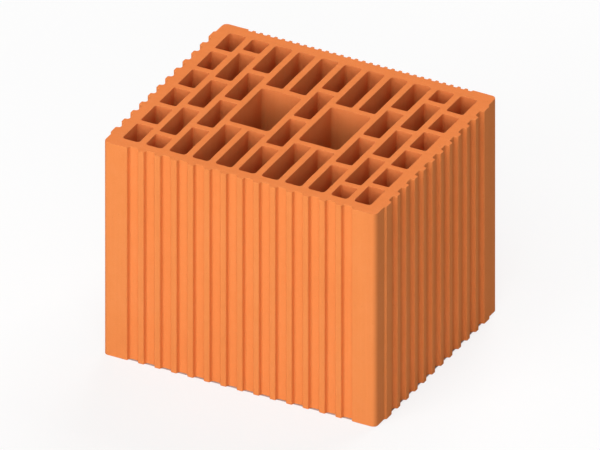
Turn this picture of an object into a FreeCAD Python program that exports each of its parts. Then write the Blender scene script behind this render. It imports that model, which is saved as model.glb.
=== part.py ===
import FreeCAD, Part
import math
import os

# Hollow fired clay wall block with upright cells, in millimetres.
# X runs along the longer side, Y from the front to the back, Z up along the cells.
# The origin is the middle of the underside.

# whole block
block_length = 300.0
block_width = 250.0
block_height = 238.0
corner_radius = 5.4

# walls of clay around and between the cells
end_shell = 15.5            # rib crown of a short side to the first cell
side_shell = 14.2           # front or back to the first cell
column_web = 7.2            # between two columns of cells
cross_web = 6.8             # between two cells of a column

# columns of cells from the middle one out to either end
half_layout = ["plain", "grip", "grip", "plain", "staggered", "close"]
plain_cells = 4
grip_column_cells = 3       # the middle one is merged into the grip cell
close_cells = 6
cell_radius = 1.8           # corners inside the block
shell_cell_radius = 3.2     # corners next to the front or back
grip_radius = 3.6

# ribs on the front and on both short sides
rib_depth = 4.2
rib_flank = 1.3             # run of a rib's steep flank along the side
rib_edge_radius = 1.3
rib_foot_radius = 2.0
groove_floor = 9.0

# front
front_groove_count = 14
front_plain = 26.1          # plain strip beside each corner

# short sides
end_groove_count = 11
end_plain = 17.8            # plain strip beside each corner
end_plain_drop = 2.0        # how far it lies below the rib crowns
broad_crown = 10.7          # crown of the first and the last rib
broad_flank = 1.4           # run of their flank towards the corner

# back, with ribs half as wide as the front's
back_groove_count = 31
back_plain = 26.3           # plain strip beside each corner
back_rib_depth = 2.4
back_rib_flank = 0.9
back_rib_radius = 0.5       # of their edges and feet
back_groove_floor = 3.4

front_y = -block_width / 2
back_y = block_width / 2
crown_x = block_length / 2
corner_x = crown_x - end_plain_drop


def groove_points(reach, count, floor, flank, depth, edge_radius, foot_radius):
    """Equal grooves from -reach to reach along a side, as (along, inwards, radius)."""
    mouth = floor + 2 * flank
    pitch = (2 * reach - mouth) / (count - 1)
    points = []
    for number in range(count):
        edge = -reach + number * pitch
        points.append((edge, 0.0, edge_radius))
        points.append((edge + flank, depth, foot_radius))
        points.append((edge + flank + floor, depth, foot_radius))
        points.append((edge + mouth, 0.0, edge_radius))
    return points


def broad_grooves(reach, count):
    """Grooves like those of the front."""
    return groove_points(
        reach, count, groove_floor, rib_flank, rib_depth, rib_edge_radius, rib_foot_radius
    )


def front_side():
    points = broad_grooves(corner_x - front_plain, front_groove_count)
    return [(along, front_y + inwards, radius) for along, inwards, radius in points]


def back_side():
    points = groove_points(
        corner_x - back_plain, back_groove_count, back_groove_floor,
        back_rib_flank, back_rib_depth, back_rib_radius, back_rib_radius,
    )
    return [(-along, back_y - inwards, radius) for along, inwards, radius in points]


def right_side():
    foot = back_y - end_plain
    crown = foot - broad_flank
    points = [(-foot, end_plain_drop, rib_foot_radius), (-crown, 0.0, rib_edge_radius)]
    points += broad_grooves(crown - broad_crown, end_groove_count)
    points += [(crown, 0.0, rib_edge_radius), (foot, end_plain_drop, rib_foot_radius)]
    return [(crown_x - inwards, along, radius) for along, inwards, radius in points]


def left_side():
    return [(-x, -y, radius) for x, y, radius in right_side()]


def block_outline():
    """Plan of the block as corners (x, y, radius), anticlockwise."""
    return (
        [(-corner_x, front_y, corner_radius)]
        + front_side()
        + [(corner_x, front_y, corner_radius)]
        + right_side()
        + [(corner_x, back_y, corner_radius)]
        + back_side()
        + [(-corner_x, back_y, corner_radius)]
        + left_side()
    )


def rounded_corner(corners, number):
    """Start, crest and end of the arc at a corner."""
    x, y, radius = corners[number]
    here = FreeCAD.Vector(x, y, 0)
    ahead = corners[(number + 1) % len(corners)]
    to_last = FreeCAD.Vector(*corners[number - 1][:2], 0) - here
    to_next = FreeCAD.Vector(*ahead[:2], 0) - here
    half_angle = to_last.getAngle(to_next) / 2
    to_last.normalize()
    to_next.normalize()
    inwards = (to_last + to_next).normalize()
    start = here + to_last * (radius / math.tan(half_angle))
    end = here + to_next * (radius / math.tan(half_angle))
    crest = here + inwards * (radius / math.sin(half_angle) - radius)
    return start, crest, end


def plan_face(corners):
    """Flat face inside corners (x, y, radius)."""
    turns = [rounded_corner(corners, number) for number in range(len(corners))]
    edges = []
    for number, (start, crest, end) in enumerate(turns):
        next_start = turns[(number + 1) % len(turns)][0]
        edges.append(Part.Arc(start, crest, end).toShape())
        edges.append(Part.makeLine(end, next_start))
    return Part.Face(Part.Wire(edges))


def cell(middle_x, width, low_y, high_y, low_radius, high_radius):
    left_x = middle_x - width / 2
    right_x = middle_x + width / 2
    return plan_face([
        (left_x, low_y, low_radius),
        (right_x, low_y, low_radius),
        (right_x, high_y, high_radius),
        (left_x, high_y, high_radius),
    ])


def column_of_cells(middle_x, width, lengths):
    """Cells one behind the other, from the front shell to the back shell."""
    cells = []
    low_y = front_y + side_shell
    for number, length in enumerate(lengths):
        low_radius = shell_cell_radius if number == 0 else cell_radius
        high_radius = shell_cell_radius if number == len(lengths) - 1 else cell_radius
        cells.append(cell(middle_x, width, low_y, low_y + length, low_radius, high_radius))
        low_y += length + cross_web
    return cells


def all_cells():
    column_count = 2 * len(half_layout) - 1
    cell_width = (block_length - 2 * end_shell + column_web) / column_count - column_web
    column_pitch = cell_width + column_web
    depth = block_width - 2 * side_shell

    def equal(count):
        return [(depth - (count - 1) * cross_web) / count] * count

    plain = equal(plain_cells)
    grip_column = equal(grip_column_cells)
    middle_cells = plain[1:]
    end_cell = (depth - sum(middle_cells) - plain_cells * cross_web) / 2
    lengths = {
        "plain": plain,
        "grip": grip_column,
        "close": equal(close_cells),
        "staggered": [end_cell] + middle_cells + [end_cell],
    }

    cells = []
    for place, kind in enumerate(half_layout):
        for middle_x in {place * column_pitch, -place * column_pitch}:
            column = column_of_cells(middle_x, cell_width, lengths[kind])
            if kind == "grip":
                del column[1]
            cells += column

    grip_places = [place for place, kind in enumerate(half_layout) if kind == "grip"]
    grip_x = sum(grip_places) / len(grip_places) * column_pitch
    grip_width = len(grip_places) * column_pitch - column_web
    grip_y = grip_column[1] / 2
    for middle_x in (-grip_x, grip_x):
        cells.append(cell(middle_x, grip_width, -grip_y, grip_y, grip_radius, grip_radius))
    return cells


section = plan_face(block_outline()).cut(Part.makeCompound(all_cells()))
block = section.Faces[0].extrude(FreeCAD.Vector(0, 0, block_height))

os.makedirs("parts", exist_ok=True)
block.exportStep("parts/hollow_clay_block.step")
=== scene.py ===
import math

import bmesh
import bpy
from mathutils import Matrix, Vector, noise


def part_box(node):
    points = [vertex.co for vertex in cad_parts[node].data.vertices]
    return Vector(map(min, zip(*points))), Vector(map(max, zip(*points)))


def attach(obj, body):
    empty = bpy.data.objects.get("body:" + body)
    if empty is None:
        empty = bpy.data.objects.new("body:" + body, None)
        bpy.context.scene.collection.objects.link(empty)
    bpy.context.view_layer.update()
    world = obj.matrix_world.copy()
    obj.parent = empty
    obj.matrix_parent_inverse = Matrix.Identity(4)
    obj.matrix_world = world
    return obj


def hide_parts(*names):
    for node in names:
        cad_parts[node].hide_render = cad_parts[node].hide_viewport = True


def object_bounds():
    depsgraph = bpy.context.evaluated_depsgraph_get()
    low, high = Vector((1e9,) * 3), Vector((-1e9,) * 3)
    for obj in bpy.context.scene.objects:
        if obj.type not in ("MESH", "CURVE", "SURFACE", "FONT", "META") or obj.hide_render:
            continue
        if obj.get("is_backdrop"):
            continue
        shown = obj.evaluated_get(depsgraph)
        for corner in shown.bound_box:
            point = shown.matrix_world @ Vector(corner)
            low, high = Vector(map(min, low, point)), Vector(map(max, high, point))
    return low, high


# Hollow fired clay block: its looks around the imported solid, in metres, Z up along the cells.

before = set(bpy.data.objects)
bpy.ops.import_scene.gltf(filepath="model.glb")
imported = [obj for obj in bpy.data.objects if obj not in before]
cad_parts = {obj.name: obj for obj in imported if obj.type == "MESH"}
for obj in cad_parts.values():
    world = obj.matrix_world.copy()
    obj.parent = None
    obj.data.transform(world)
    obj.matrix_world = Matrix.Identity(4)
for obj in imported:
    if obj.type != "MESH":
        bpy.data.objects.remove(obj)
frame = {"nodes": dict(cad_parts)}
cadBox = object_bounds()
blockHeight = cadBox[1][2]
print("frame loaded:", ", ".join(frame["nodes"]))


# node helpers

def addNode(tree, kind, **settings):
    node = tree.nodes.new(kind)
    for name, value in settings.items():
        setattr(node, name, value)
    return node


def feed(tree, socket, value):
    # a socket takes a link or a plain value
    if isinstance(value, bpy.types.NodeSocket):
        tree.links.new(value, socket)
    else:
        socket.default_value = value


def maths(tree, operation, first, second=0.0, clamp=False):
    node = addNode(tree, "ShaderNodeMath", operation=operation, use_clamp=clamp)
    feed(tree, node.inputs[0], first)
    feed(tree, node.inputs[1], second)
    return node.outputs[0]


def stretched(tree, value, low, high):
    # 0 at low and below, 1 at high and above
    node = addNode(tree, "ShaderNodeMapRange", clamp=True)
    feed(tree, node.inputs["Value"], value)
    feed(tree, node.inputs["From Min"], low)
    feed(tree, node.inputs["From Max"], high)
    return node.outputs["Result"]


def mixed(tree, share, first, second):
    node = addNode(tree, "ShaderNodeMix", data_type="RGBA")
    feed(tree, node.inputs["Factor"], share)
    feed(tree, node.inputs["A"], first)
    feed(tree, node.inputs["B"], second)
    return node.outputs["Result"]


def place(tree, scale, along=(1, 1, 1)):
    # object position, stretched along some axes and then scaled up
    spot = addNode(tree, "ShaderNodeTexCoord").outputs["Object"]
    bent = addNode(tree, "ShaderNodeVectorMath", operation="MULTIPLY")
    feed(tree, bent.inputs[0], spot)
    feed(tree, bent.inputs[1], along)
    scaled = addNode(tree, "ShaderNodeVectorMath", operation="SCALE")
    feed(tree, scaled.inputs[0], bent.outputs["Vector"])
    feed(tree, scaled.inputs["Scale"], scale)
    return scaled.outputs["Vector"]


def noiseValue(tree, where, detail, roughness=0.5):
    node = addNode(tree, "ShaderNodeTexNoise")
    feed(tree, node.inputs["Vector"], where)
    node.inputs["Scale"].default_value = 1.0
    node.inputs["Detail"].default_value = detail
    node.inputs["Roughness"].default_value = roughness
    return node.outputs["Fac"]


def newGroup(name, inputs, outputs):
    tree = bpy.data.node_groups.new(name, "ShaderNodeTree")
    for label, kind, value in inputs:
        socket = tree.interface.new_socket(label, in_out="INPUT", socket_type=kind)
        socket.default_value = value
    for label, kind in outputs:
        tree.interface.new_socket(label, in_out="OUTPUT", socket_type=kind)
    return tree, addNode(tree, "NodeGroupInput").outputs, addNode(tree, "NodeGroupOutput").inputs


def useGroup(tree, group, **values):
    # values are named like the group's inputs, without their spaces
    node = addNode(tree, "ShaderNodeGroup", node_tree=group)
    node.label = group.name
    for socket in node.inputs:
        key = socket.name.replace(" ", "")
        if key in values:
            feed(tree, socket, values[key])
    return node.outputs


# effects that every kind of clay surface shares

def makeTone():
    # slow drift of the fired colour, and a finer mottle
    tree, given, out = newGroup(
        "clayTone",
        [
            ("Body", "NodeSocketColor", (0.8, 0.8, 0.8, 1)),
            ("Pale", "NodeSocketColor", (1, 1, 1, 1)),
            ("Dark", "NodeSocketColor", (0.5, 0.5, 0.5, 1)),
            ("Patch Size", "NodeSocketFloat", 0.08),
            ("Strength", "NodeSocketFloat", 0.3),
        ],
        [("Color", "NodeSocketColor")],
    )
    mottleFiner = 9.0               # than the drift
    driftShare, mottleShare = 0.65, 0.35
    darkest, usual, palest = 0.32, 0.5, 0.68    # values of the noise

    patches = maths(tree, "DIVIDE", 1.0, given["Patch Size"])
    spots = maths(tree, "MULTIPLY", patches, mottleFiner)
    drift = maths(tree, "MULTIPLY", noiseValue(tree, place(tree, patches), 2), driftShare)
    mottle = maths(tree, "MULTIPLY", noiseValue(tree, place(tree, spots), 3), mottleShare)
    sway = maths(tree, "ADD", drift, mottle)
    paleShare = maths(tree, "MULTIPLY", stretched(tree, sway, usual, palest), given["Strength"])
    darkShare = maths(tree, "MULTIPLY", stretched(tree, sway, usual, darkest), given["Strength"])
    lifted = mixed(tree, paleShare, given["Body"], given["Pale"])
    feed(tree, out["Color"], mixed(tree, darkShare, lifted, given["Dark"]))
    return tree


def makeGrit():
    # sand grains that catch the light, small open pores, and the fine tooth of fired clay
    tree, given, out = newGroup(
        "clayGrit",
        [
            ("Grain Size", "NodeSocketFloat", 0.0006),
            ("Pore Size", "NodeSocketFloat", 0.002),
            ("Grain Share", "NodeSocketFloat", 0.2),
            ("Pore Share", "NodeSocketFloat", 0.1),
        ],
        [("Grains", "NodeSocketFloat"), ("Pores", "NodeSocketFloat"), ("Height", "NodeSocketFloat")],
    )
    grainReach, poreReach = 0.5, 0.2    # of a spot from its middle, in the sizes above
    speckCore = 0.4                 # share of that reach at full strength
    toothRate = 0.7                 # humps of the tooth along a grain's size
    grainRise, poreDrop = 0.35, 1.2     # against the tooth's height

    def specks(size, share, reach):
        # round spots in a share of the cells of a random honeycomb
        cells = addNode(tree, "ShaderNodeTexVoronoi")
        feed(tree, cells.inputs["Vector"], place(tree, maths(tree, "DIVIDE", 1.0, size)))
        cells.inputs["Scale"].default_value = 1.0
        chance = addNode(tree, "ShaderNodeSeparateColor")
        feed(tree, chance.inputs["Color"], cells.outputs["Color"])
        chosen = maths(tree, "LESS_THAN", chance.outputs["Red"], share)
        spot = stretched(tree, cells.outputs["Distance"], reach, reach * speckCore)
        return maths(tree, "MULTIPLY", spot, chosen)

    grains = specks(given["Grain Size"], given["Grain Share"], grainReach)
    pores = specks(given["Pore Size"], given["Pore Share"], poreReach)
    tooth = noiseValue(tree, place(tree, maths(tree, "DIVIDE", toothRate, given["Grain Size"])), 2, 0.6)
    evenTooth = maths(tree, "SUBTRACT", tooth, 0.5)
    raised = maths(tree, "ADD", maths(tree, "MULTIPLY", grains, grainRise), evenTooth)
    feed(tree, out["Grains"], grains)
    feed(tree, out["Pores"], pores)
    feed(tree, out["Height"], maths(tree, "SUBTRACT", raised, maths(tree, "MULTIPLY", pores, poreDrop)))
    return tree


def makeDrag():
    # lines that a die or a wire drags in the soft clay, a coarse and a fine set
    tree, given, out = newGroup(
        "dragLines",
        [
            ("Across", "NodeSocketVector", (1, 1, 0)),
            ("Spacing", "NodeSocketFloat", 0.002),
            ("Wander", "NodeSocketFloat", 0.0),
        ],
        [("Lines", "NodeSocketFloat"), ("Height", "NodeSocketFloat")],
    )
    swayRate = 22.0                 # bends along a metre
    coarseRate, fineRate = 0.35, 1.0    # lines along a spacing
    coarseShare, fineShare = 0.6, 0.4
    faintest, strongest = 0.36, 0.64

    sway = addNode(tree, "ShaderNodeTexNoise")
    feed(tree, sway.inputs["Vector"], place(tree, swayRate))
    sway.inputs["Scale"].default_value = 1.0
    centred = addNode(tree, "ShaderNodeVectorMath", operation="SUBTRACT")
    feed(tree, centred.inputs[0], sway.outputs["Color"])
    feed(tree, centred.inputs[1], (0.5, 0.5, 0.5))
    moved = addNode(tree, "ShaderNodeVectorMath", operation="SCALE")
    feed(tree, moved.inputs[0], centred.outputs["Vector"])
    feed(tree, moved.inputs["Scale"], given["Wander"])

    def lineSet(rate, detail, share):
        where = place(tree, maths(tree, "DIVIDE", rate, given["Spacing"]), given["Across"])
        shifted = addNode(tree, "ShaderNodeVectorMath", operation="ADD")
        feed(tree, shifted.inputs[0], where)
        feed(tree, shifted.inputs[1], moved.outputs["Vector"])
        return maths(tree, "MULTIPLY", noiseValue(tree, shifted.outputs["Vector"], detail, 0.6), share)

    height = maths(tree, "ADD", lineSet(coarseRate, 1, coarseShare), lineSet(fineRate, 3, fineShare))
    feed(tree, out["Lines"], stretched(tree, height, faintest, strongest))
    feed(tree, out["Height"], maths(tree, "SUBTRACT", height, 0.5))
    return tree


def makeWear():
    # rubbed rib edges and cell mouths, broken up so that no edge is evenly pale
    tree, given, out = newGroup(
        "edgeWear",
        [("Patch Size", "NodeSocketFloat", 0.01), ("Strength", "NodeSocketFloat", 0.5)],
        [("Rubbed", "NodeSocketFloat")],
    )
    spared, bare = 0.35, 0.62       # values of the noise
    edge = addNode(tree, "ShaderNodeAttribute", attribute_name="rubbed").outputs["Fac"]
    patchy = noiseValue(tree, place(tree, maths(tree, "DIVIDE", 1.0, given["Patch Size"])), 4, 0.65)
    broken = maths(tree, "MULTIPLY", edge, stretched(tree, patchy, spared, bare))
    feed(tree, out["Rubbed"], maths(tree, "MULTIPLY", broken, given["Strength"], clamp=True))
    return tree


def makeDepth():
    # 0 at either mouth of the upright cells, 1 from a given depth on; the mask of the painted shade deep in
    # the cells
    tree, given, out = newGroup(
        "cellDepth",
        [("Height", "NodeSocketFloat", 0.2), ("Reach", "NodeSocketFloat", 0.03)],
        [("Depth", "NodeSocketFloat")],
    )
    spot = addNode(tree, "ShaderNodeSeparateXYZ")
    feed(tree, spot.inputs["Vector"], addNode(tree, "ShaderNodeTexCoord").outputs["Object"])
    fromTop = maths(tree, "SUBTRACT", given["Height"], spot.outputs["Z"])
    nearest = maths(tree, "MINIMUM", fromTop, spot.outputs["Z"])
    feed(tree, out["Depth"], stretched(tree, nearest, 0.0, given["Reach"]))
    return tree


effects = {
    "tone": makeTone(), "grit": makeGrit(), "drag": makeDrag(), "wear": makeWear(), "depth": makeDepth(),
}
print("shader groups made:", ", ".join(group.name for group in effects.values()))


# the three kinds of surface on one block

firedClay = {
    "pale": (0.93, 0.33, 0.12, 1),
    "dark": (0.72, 0.195, 0.052, 1),
    "sand": (0.95, 0.42, 0.18, 1),
    # painted shade inside the open pores
    "pore": (0.45, 0.11, 0.03, 1),
    "roughness": (0.74, 0.92),
    "dulling": 0.5,                 # by the drag lines, and as much by the grains
    "specular": 0.08,
    "tonePatch": 0.085,
    "wearPatch": 0.009,
    "grainTint": 0.45,
    "poreTint": 0.6,
    # reach of the painted shade deep in the cells
    "deepReach": 0.032,             # below a cell's mouth
}

surfaces = {
    # pressed through the die: lines run up the block
    "extruded_clay": {
        "body": (0.860, 0.266, 0.073, 1),
        "across": (1, 1, 0.01), "spacing": 0.0011, "wander": 0.25, "lineDepth": 0.00040, "lineShade": 0.14,
        "grainSize": 0.0005, "grainShare": 0.13, "poreSize": 0.0017, "poreShare": 0.05,
        "gritHeight": 0.00007, "tone": 0.16, "wear": 0.45,
    },
    # drawn past the cores: stronger lines, no handling; painted shade makes the walls browner and darker
    # deeper in the cells
    "cell_clay": {
        "body": (0.84, 0.252, 0.075, 1), "deep": (0.69, 0.257, 0.081, 1),
        "across": (1, 1, 0.008), "spacing": 0.0014, "wander": 0.25, "lineDepth": 0.00055, "lineShade": 0.16,
        "grainSize": 0.0005, "grainShare": 0.10, "poreSize": 0.0019, "poreShare": 0.05,
        "gritHeight": 0.00007, "tone": 0.16, "wear": 0.30,
    },
    # cut off by a wire that travelled along the block: torn, open grain
    "wire_cut_clay": {
        "body": (0.905, 0.251, 0.065, 1),
        "across": (0.05, 1, 1), "spacing": 0.0016, "wander": 0.9, "lineDepth": 0.00045, "lineShade": 0.14,
        "grainSize": 0.0007, "grainShare": 0.18, "poreSize": 0.0018, "poreShare": 0.10,
        "gritHeight": 0.00013, "tone": 0.16, "wear": 0.35,
    },
}


def makeClay(name, look):
    material = bpy.data.materials.new(name)
    material.use_nodes = True
    tree = material.node_tree
    tree.nodes.clear()

    body = look["body"]
    # painted shade: the cell walls turn darker and browner away from their mouths
    if "deep" in look:
        depth = useGroup(tree, effects["depth"], Height=blockHeight, Reach=firedClay["deepReach"])
        body = mixed(tree, depth["Depth"], body, look["deep"])
    tone = useGroup(
        tree, effects["tone"], Body=body, Pale=firedClay["pale"], Dark=firedClay["dark"],
        PatchSize=firedClay["tonePatch"], Strength=look["tone"],
    )
    grit = useGroup(
        tree, effects["grit"], GrainSize=look["grainSize"], PoreSize=look["poreSize"],
        GrainShare=look["grainShare"], PoreShare=look["poreShare"],
    )
    drag = useGroup(
        tree, effects["drag"], Across=look["across"], Spacing=look["spacing"], Wander=look["wander"],
    )
    wear = useGroup(tree, effects["wear"], PatchSize=firedClay["wearPatch"], Strength=look["wear"])

    lineShare = maths(tree, "MULTIPLY", drag["Lines"], look["lineShade"])
    grainShare = maths(tree, "MULTIPLY", grit["Grains"], firedClay["grainTint"])
    # the pores are painted dark, as the shade inside them
    poreShare = maths(tree, "MULTIPLY", grit["Pores"], firedClay["poreTint"])
    lined = mixed(tree, lineShare, tone["Color"], firedClay["dark"])
    sanded = mixed(tree, grainShare, lined, firedClay["sand"])
    pitted = mixed(tree, poreShare, sanded, firedClay["pore"])
    colour = mixed(tree, wear["Rubbed"], pitted, firedClay["pale"])

    smooth, rough = firedClay["roughness"]
    unsmooth = maths(tree, "ADD", drag["Lines"], grit["Grains"])
    sheenLost = maths(tree, "MULTIPLY", unsmooth, firedClay["dulling"], clamp=True)
    roughness = maths(tree, "ADD", maths(tree, "MULTIPLY", sheenLost, rough - smooth), smooth)

    lineHeight = maths(tree, "MULTIPLY", drag["Height"], look["lineDepth"])
    gritHeight = maths(tree, "MULTIPLY", grit["Height"], look["gritHeight"])
    bump = addNode(tree, "ShaderNodeBump")
    bump.inputs["Distance"].default_value = 1.0     # the heights are in metres already
    feed(tree, bump.inputs["Height"], maths(tree, "ADD", lineHeight, gritHeight))

    shader = addNode(tree, "ShaderNodeBsdfPrincipled")
    shader.inputs["Specular IOR Level"].default_value = firedClay["specular"]
    feed(tree, shader.inputs["Base Color"], colour)
    feed(tree, shader.inputs["Roughness"], roughness)
    feed(tree, shader.inputs["Normal"], bump.outputs["Normal"])
    output = addNode(tree, "ShaderNodeOutputMaterial")
    feed(tree, output.inputs["Surface"], shader.outputs["BSDF"])
    return material


clays = [makeClay(name, look) for name, look in surfaces.items()]
skinSlot, cellSlot, cutSlot = range(len(clays))
print("clay surfaces made:", ", ".join(clay.name for clay in clays))


# the block

firedBlock = {
    "node": "hollow_clay_block",
    "weldDistance": 0.000001,
    "levelNormal": 0.99,             # upward share of a cut face's normal, at least
    "leastTurn": math.radians(2),    # of the plan; below this it counts as straight
    "finestTurn": math.radians(13),  # between two points of a rounded edge
    "rubbedRadius": 0.003,           # edges that stand out with less than this are worn
    "leastStretch": 0.00002,         # between two points of the plan
    "longestStretch": 0.005,         # between two points of a straight wall
    "roomShare": 0.7,                # of an edge's radius, that wear may take
    "roomGrowth": 0.3,               # along the plan from a tight edge
    "openRoom": 0.01,                # away from edges
    "mouthRounding": 0.00025,        # where the wire cut through
    "mouthWear": 0.0004,             # added to it at the most worn places
    "usualWear": 0.35,               # share of that at an ordinary place
    "wearPatch": 0.011,
    "finerWear": 3.1,                # rate of the finer patches, against the others
    "finerShare": 0.5,               # and their strength
    "wallRubbing": 0.8,              # of a rib's edge between the mouths, against 1 at a mouth
    "mouthSteps": 3,
    "levels": 6,                     # of wall between the two mouths
    "unevenness": 0.00022,           # how far a wall lies back at most
    "unevenPatch": 0.045,
    "unevenUpwards": 0.3,            # slower change up the wall than along it
    "largeFaces": 100,               # weight of large faces in the shading
}


def planLoops(node):
    # closed lines of the upper cut face, each with the clay on its left
    mesh = bmesh.new()
    mesh.from_mesh(node.data)
    bmesh.ops.remove_doubles(mesh, verts=mesh.verts, dist=firedBlock["weldDistance"])
    mesh.normal_update()
    level = firedBlock["levelNormal"]
    following = {}
    for face in mesh.faces:
        if face.normal.z < level:
            continue
        for corner in face.loops:
            if corner.link_loop_radial_next.face.normal.z < level:
                following[corner.vert] = corner.link_loop_next.vert
    loops = []
    while following:
        start, here = following.popitem()
        loop = [start.co.xy.copy()]
        while here != start:
            loop.append(here.co.xy.copy())
            here = following.pop(here)
        loops.append(loop)
    mesh.free()
    return loops


def leftOf(direction):
    return Vector((-direction.y, direction.x))


def loopArea(points):
    return sum(last.cross(here) for last, here in zip(points[-1:] + points[:-1], points)) / 2


def easeTurns(points):
    # a smooth arc at each turn of the plan, as (point, rubbed, room); tight edges are rubbed along their
    # crest, and room is how far a point may go into the clay before its arc turns over
    eased = []
    for number, here in enumerate(points):
        ahead = points[(number + 1) % len(points)]
        comes = here - points[number - 1]
        goes = ahead - here
        turn = math.atan2(comes.cross(goes), comes.dot(goes))
        if abs(turn) < firedBlock["leastTurn"]:
            eased.append((here, 0.0, firedBlock["openRoom"]))
            continue
        reach = min(comes.length, goes.length) / 2
        radius = reach / math.tan(abs(turn) / 2)
        tight = turn > 0 and radius < firedBlock["rubbedRadius"]
        room = radius * firedBlock["roomShare"] if turn > 0 else firedBlock["openRoom"]
        spoke = leftOf(comes.normalized()) * math.copysign(radius, turn)
        centre = here - comes.normalized() * reach + spoke
        steps = math.ceil(abs(turn) / firedBlock["finestTurn"])
        for step in range(steps + 1):
            swing = Matrix.Rotation(turn * step / steps, 2)
            rubbed = math.sin(math.pi * step / steps) if tight else 0.0
            eased.append((centre - swing @ spoke, rubbed, room))
    # neighbouring arcs meet in one point
    pairs = zip(eased[-1:] + eased[:-1], eased)
    return [here for last, here in pairs if (here[0] - last[0]).length > firedBlock["leastStretch"]]


def fillStretches(points):
    filled = []
    for number, (here, rubbed, room) in enumerate(points):
        ahead = points[(number + 1) % len(points)][0]
        filled.append((here, rubbed, room))
        parts = math.ceil((ahead - here).length / firedBlock["longestStretch"])
        for part in range(1, parts):
            filled.append((here.lerp(ahead, part / parts), 0.0, firedBlock["openRoom"]))
    return filled


def shareRoom(points):
    # near a tight edge the room stays small, so that a worn mouth keeps a smooth line
    spots = [spot for spot, _, _ in points]
    rooms = [room for _, _, room in points]
    for way in (1, -1):
        for pace in range(2 * len(points)):
            here = pace * way % len(points)
            last = (here - way) % len(points)
            growth = (spots[here] - spots[last]).length * firedBlock["roomGrowth"]
            rooms[here] = min(rooms[here], rooms[last] + growth)
    return [(spot, rubbed, room) for (spot, rubbed, _), room in zip(points, rooms)]


def intoClay(points):
    # how a point moves when its line shrinks into the clay by one unit
    moves = []
    for number, here in enumerate(points):
        comes = leftOf((here - points[number - 1]).normalized())
        goes = leftOf((points[(number + 1) % len(points)] - here).normalized())
        middle = (comes + goes).normalized()
        moves.append(middle / middle.dot(comes))
    return moves


def wearAt(x, y, z):
    spot = Vector((x, y, z)) / firedBlock["wearPatch"]
    patch = noise.noise(spot) + firedBlock["finerShare"] * noise.noise(spot * firedBlock["finerWear"])
    worn = min(max(firedBlock["usualWear"] + patch, 0.0), 1.0)
    return firedBlock["mouthRounding"] + firedBlock["mouthWear"] * worn


def layBack(x, y, z):
    spot = Vector((x, y, z * firedBlock["unevenUpwards"])) / firedBlock["unevenPatch"]
    return firedBlock["unevenness"] * (0.5 + 0.5 * noise.noise(spot))


def wallRings(points, bottom, top):
    # rings of (x, y, z, rubbed) from the lower mouth to the upper one
    plan = [spot for spot, _, _ in points]
    moves = intoClay(plan)
    steps = firedBlock["mouthSteps"]
    levels = firedBlock["levels"]
    rings = []

    def ring(shape):
        rings.append([shape(*point, move) for point, move in zip(points, moves)])

    def mouth(end, inwards, step):
        angle = math.radians(90) * step / steps

        def shape(point, rubbed, room, move):
            radius = wearAt(point.x, point.y, end)
            laid = layBack(point.x, point.y, end)
            held = min(1.0, room / (laid + radius))
            spot = point + move * held * (laid + radius * (1 - math.cos(angle)))
            z = end + inwards * radius * (1 - math.sin(angle))
            return spot.x, spot.y, z, max(rubbed, math.sin(2 * angle))
        return shape

    def level(z):
        def shape(point, rubbed, room, move):
            spot = point + move * min(room, layBack(point.x, point.y, z))
            return spot.x, spot.y, z, rubbed * firedBlock["wallRubbing"]
        return shape

    for step in reversed(range(steps + 1)):
        ring(mouth(bottom, 1, step))
    for number in range(1, levels):
        ring(level(bottom + (top - bottom) * number / levels))
    for step in range(steps + 1):
        ring(mouth(top, -1, step))
    return rings


def buildBlock():
    node = frame["nodes"][firedBlock["node"]]
    low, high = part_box(firedBlock["node"])
    mesh = bmesh.new()
    rubbedLayer = mesh.verts.layers.float.new("rubbed")
    mouths = {low.z: [], high.z: []}

    for loop in planLoops(node):
        wall = skinSlot if loopArea(loop) > 0 else cellSlot
        rings = []
        for ring in wallRings(shareRoom(fillStretches(easeTurns(loop))), low.z, high.z):
            verts = []
            for x, y, z, rubbed in ring:
                vert = mesh.verts.new((x, y, z))
                vert[rubbedLayer] = rubbed
                verts.append(vert)
            rings.append(verts)
        for below, above in zip(rings, rings[1:]):
            count = len(below)
            for number in range(count):
                after = (number + 1) % count
                face = mesh.faces.new((below[number], below[after], above[after], above[number]))
                face.material_index = wall
        for z, edgeRing in ((low.z, rings[0]), (high.z, rings[-1])):
            for last, here in zip(edgeRing[-1:] + edgeRing[:-1], edgeRing):
                mouths[z].append(mesh.edges.get((last, here)))

    for z, edges in mouths.items():
        side = 1 if z == high.z else -1
        cut = bmesh.ops.triangle_fill(mesh, edges=edges, use_beauty=True, normal=(0, 0, side))
        for face in cut["geom"]:
            if isinstance(face, bmesh.types.BMFace):
                face.material_index = cutSlot
    bmesh.ops.recalc_face_normals(mesh, faces=mesh.faces)
    for face in mesh.faces:
        face.smooth = True

    data = bpy.data.meshes.new("fired_clay_block")
    mesh.to_mesh(data)
    mesh.free()
    for clay in clays:
        data.materials.append(clay)
    piece = bpy.data.objects.new("fired_clay_block", data)
    bpy.context.scene.collection.objects.link(piece)
    flatter = piece.modifiers.new("even faces", "WEIGHTED_NORMAL")
    flatter.weight = firedBlock["largeFaces"]
    return piece


block = buildBlock()
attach(block, "root")
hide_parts(firedBlock["node"])
print("block built:", len(block.data.vertices), "points,", len(block.data.polygons), "faces")


# studio

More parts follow.
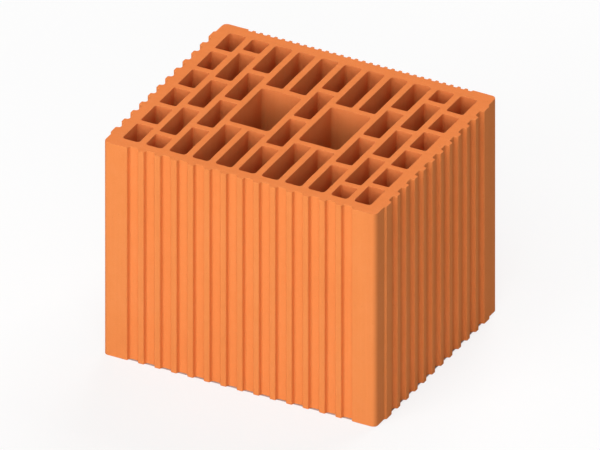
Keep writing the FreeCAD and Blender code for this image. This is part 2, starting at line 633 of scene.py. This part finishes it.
studio = {
    "floorColour": (0.50, 0.50, 0.50, 1),
    "floorReach": 6.0,
    "floorDrop": 0.0002,            # keeps the floor clear of the block's underside
    "footShare": 0.98,              # of the block's plan, where the floor stays plain
    "shownColour": (1, 1, 1, 1),    # the floor as the camera sees it
    "shownWhite": 0.78,             # share of plain white in that
    "ambient": 0.10,
    "aimHeight": 0.12,              # of the lamps
    "lamps": {
        # bearing from the front towards the left, height angle, distance, size, power
        "keySoftbox": (-9, 30, 4.0, 2.2, 16.0),
        "leftFrontLamp": (20, 15, 4.0, 2.2, 68.0),
        "rightFrontLamp": (-30, 15, 4.0, 2.2, 46.0),
        "highLamp": (0, 60, 4.0, 2.2, 42.0),
        "backLamp": (180, 45, 4.0, 2.7, 103.0),
    },
}


def seenDirectly(tree):
    # 1 for what the camera sees, itself or in a gloss or through glass
    path = addNode(tree, "ShaderNodeLightPath").outputs
    seen = maths(tree, "MAXIMUM", path["Is Camera Ray"], path["Is Glossy Ray"])
    return maths(tree, "MAXIMUM", seen, path["Is Transmission Ray"])


def makeFloor():
    low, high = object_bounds()
    material = bpy.data.materials.new("pale_floor")
    material.use_nodes = True
    tree = material.node_tree
    tree.nodes.clear()
    matt = addNode(tree, "ShaderNodeBsdfDiffuse")
    white = addNode(tree, "ShaderNodeEmission")
    white.inputs["Strength"].default_value = 1.0
    blend = addNode(tree, "ShaderNodeMixShader")
    # under the block the floor is plain, so that no light seems to come up the cells
    footShare = studio["footShare"]
    spot = addNode(tree, "ShaderNodeSeparateXYZ")
    feed(tree, spot.inputs["Vector"], addNode(tree, "ShaderNodeTexCoord").outputs["Object"])
    besideX = maths(tree, "GREATER_THAN", maths(tree, "ABSOLUTE", spot.outputs["X"]), high[0] * footShare)
    besideY = maths(tree, "GREATER_THAN", maths(tree, "ABSOLUTE", spot.outputs["Y"]), high[1] * footShare)
    shown = maths(tree, "MULTIPLY", seenDirectly(tree), maths(tree, "MAXIMUM", besideX, besideY))
    feed(tree, matt.inputs["Color"], mixed(tree, shown, studio["floorColour"], studio["shownColour"]))
    feed(tree, blend.inputs["Fac"], maths(tree, "MULTIPLY", shown, studio["shownWhite"]))
    feed(tree, blend.inputs[1], matt.outputs["BSDF"])
    feed(tree, blend.inputs[2], white.outputs["Emission"])
    output = addNode(tree, "ShaderNodeOutputMaterial")
    feed(tree, output.inputs["Surface"], blend.outputs["Shader"])

    reach = studio["floorReach"]
    corners = [(-reach, -reach, 0), (reach, -reach, 0), (reach, reach, 0), (-reach, reach, 0)]
    data = bpy.data.meshes.new("floor")
    data.from_pydata(corners, [], [(0, 1, 2, 3)])
    data.materials.append(material)
    floor = bpy.data.objects.new("floor", data)
    floor.location.z = low[2] - studio["floorDrop"]
    bpy.context.scene.collection.objects.link(floor)
    floor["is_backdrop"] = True


def makeWorld():
    world = bpy.data.worlds.new("studio")
    world.use_nodes = True
    tree = world.node_tree
    tree.nodes.clear()
    ambient = addNode(tree, "ShaderNodeBackground")
    ambient.inputs["Strength"].default_value = studio["ambient"]
    ambient.inputs["Color"].default_value = (1, 1, 1, 1)
    white = addNode(tree, "ShaderNodeBackground")
    white.inputs["Strength"].default_value = 1.0
    white.inputs["Color"].default_value = (1, 1, 1, 1)
    blend = addNode(tree, "ShaderNodeMixShader")
    feed(tree, blend.inputs["Fac"], seenDirectly(tree))
    feed(tree, blend.inputs[1], ambient.outputs["Background"])
    feed(tree, blend.inputs[2], white.outputs["Background"])
    feed(tree, addNode(tree, "ShaderNodeOutputWorld").inputs["Surface"], blend.outputs["Shader"])
    bpy.context.scene.world = world


def makeLamp(name, bearing, height, distance, size, power):
    data = bpy.data.lights.new(name, "AREA")
    data.shape = "SQUARE"
    data.size = size
    data.energy = power
    lamp = bpy.data.objects.new(name, data)
    side, rise = math.radians(bearing), math.radians(height)
    towards = Vector((-math.sin(side) * math.cos(rise), -math.cos(side) * math.cos(rise), math.sin(rise)))
    middle = Vector((0, 0, studio["aimHeight"]))
    lamp.location = middle + towards * distance
    lamp.rotation_euler = towards.to_track_quat("Z", "Y").to_euler()
    bpy.context.scene.collection.objects.link(lamp)


makeFloor()
makeWorld()
for lampName, settings in studio["lamps"].items():
    makeLamp(lampName, *settings)
print("studio set")


# camera at the photograph's angle; it sees the block in parallel view

view = {
    "azimuth": 27.82,               # from the front towards the right end
    "elevation": 31.0,
    "pixelsPerMetre": 1042.0,
    "imageSize": (600, 450),
    "topMiddlePixel": (300.1, 119.0),
    "distance": 3.0,
}


def makeCamera():
    low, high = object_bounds()
    turn, rise = math.radians(view["azimuth"]), math.radians(view["elevation"])
    towards = Vector((math.sin(turn) * math.cos(rise), -math.cos(turn) * math.cos(rise), math.sin(rise)))
    facing = towards.to_track_quat("Z", "Y")
    width, height = view["imageSize"]
    column, row = view["topMiddlePixel"]
    right = (column - width / 2) / view["pixelsPerMetre"]
    up = (height / 2 - row) / view["pixelsPerMetre"]
    data = bpy.data.cameras.new("camera")
    data.type = "ORTHO"
    data.ortho_scale = width / view["pixelsPerMetre"]
    camera = bpy.data.objects.new("camera", data)
    aim = Vector((0, 0, high[2])) - facing @ Vector((right, up, 0))
    camera.location = aim + towards * view["distance"]
    camera.rotation_euler = facing.to_euler()
    bpy.context.scene.collection.objects.link(camera)
    bpy.context.scene.camera = camera


makeCamera()
bpy.context.scene.view_settings.view_transform = "Standard"
print("camera set")
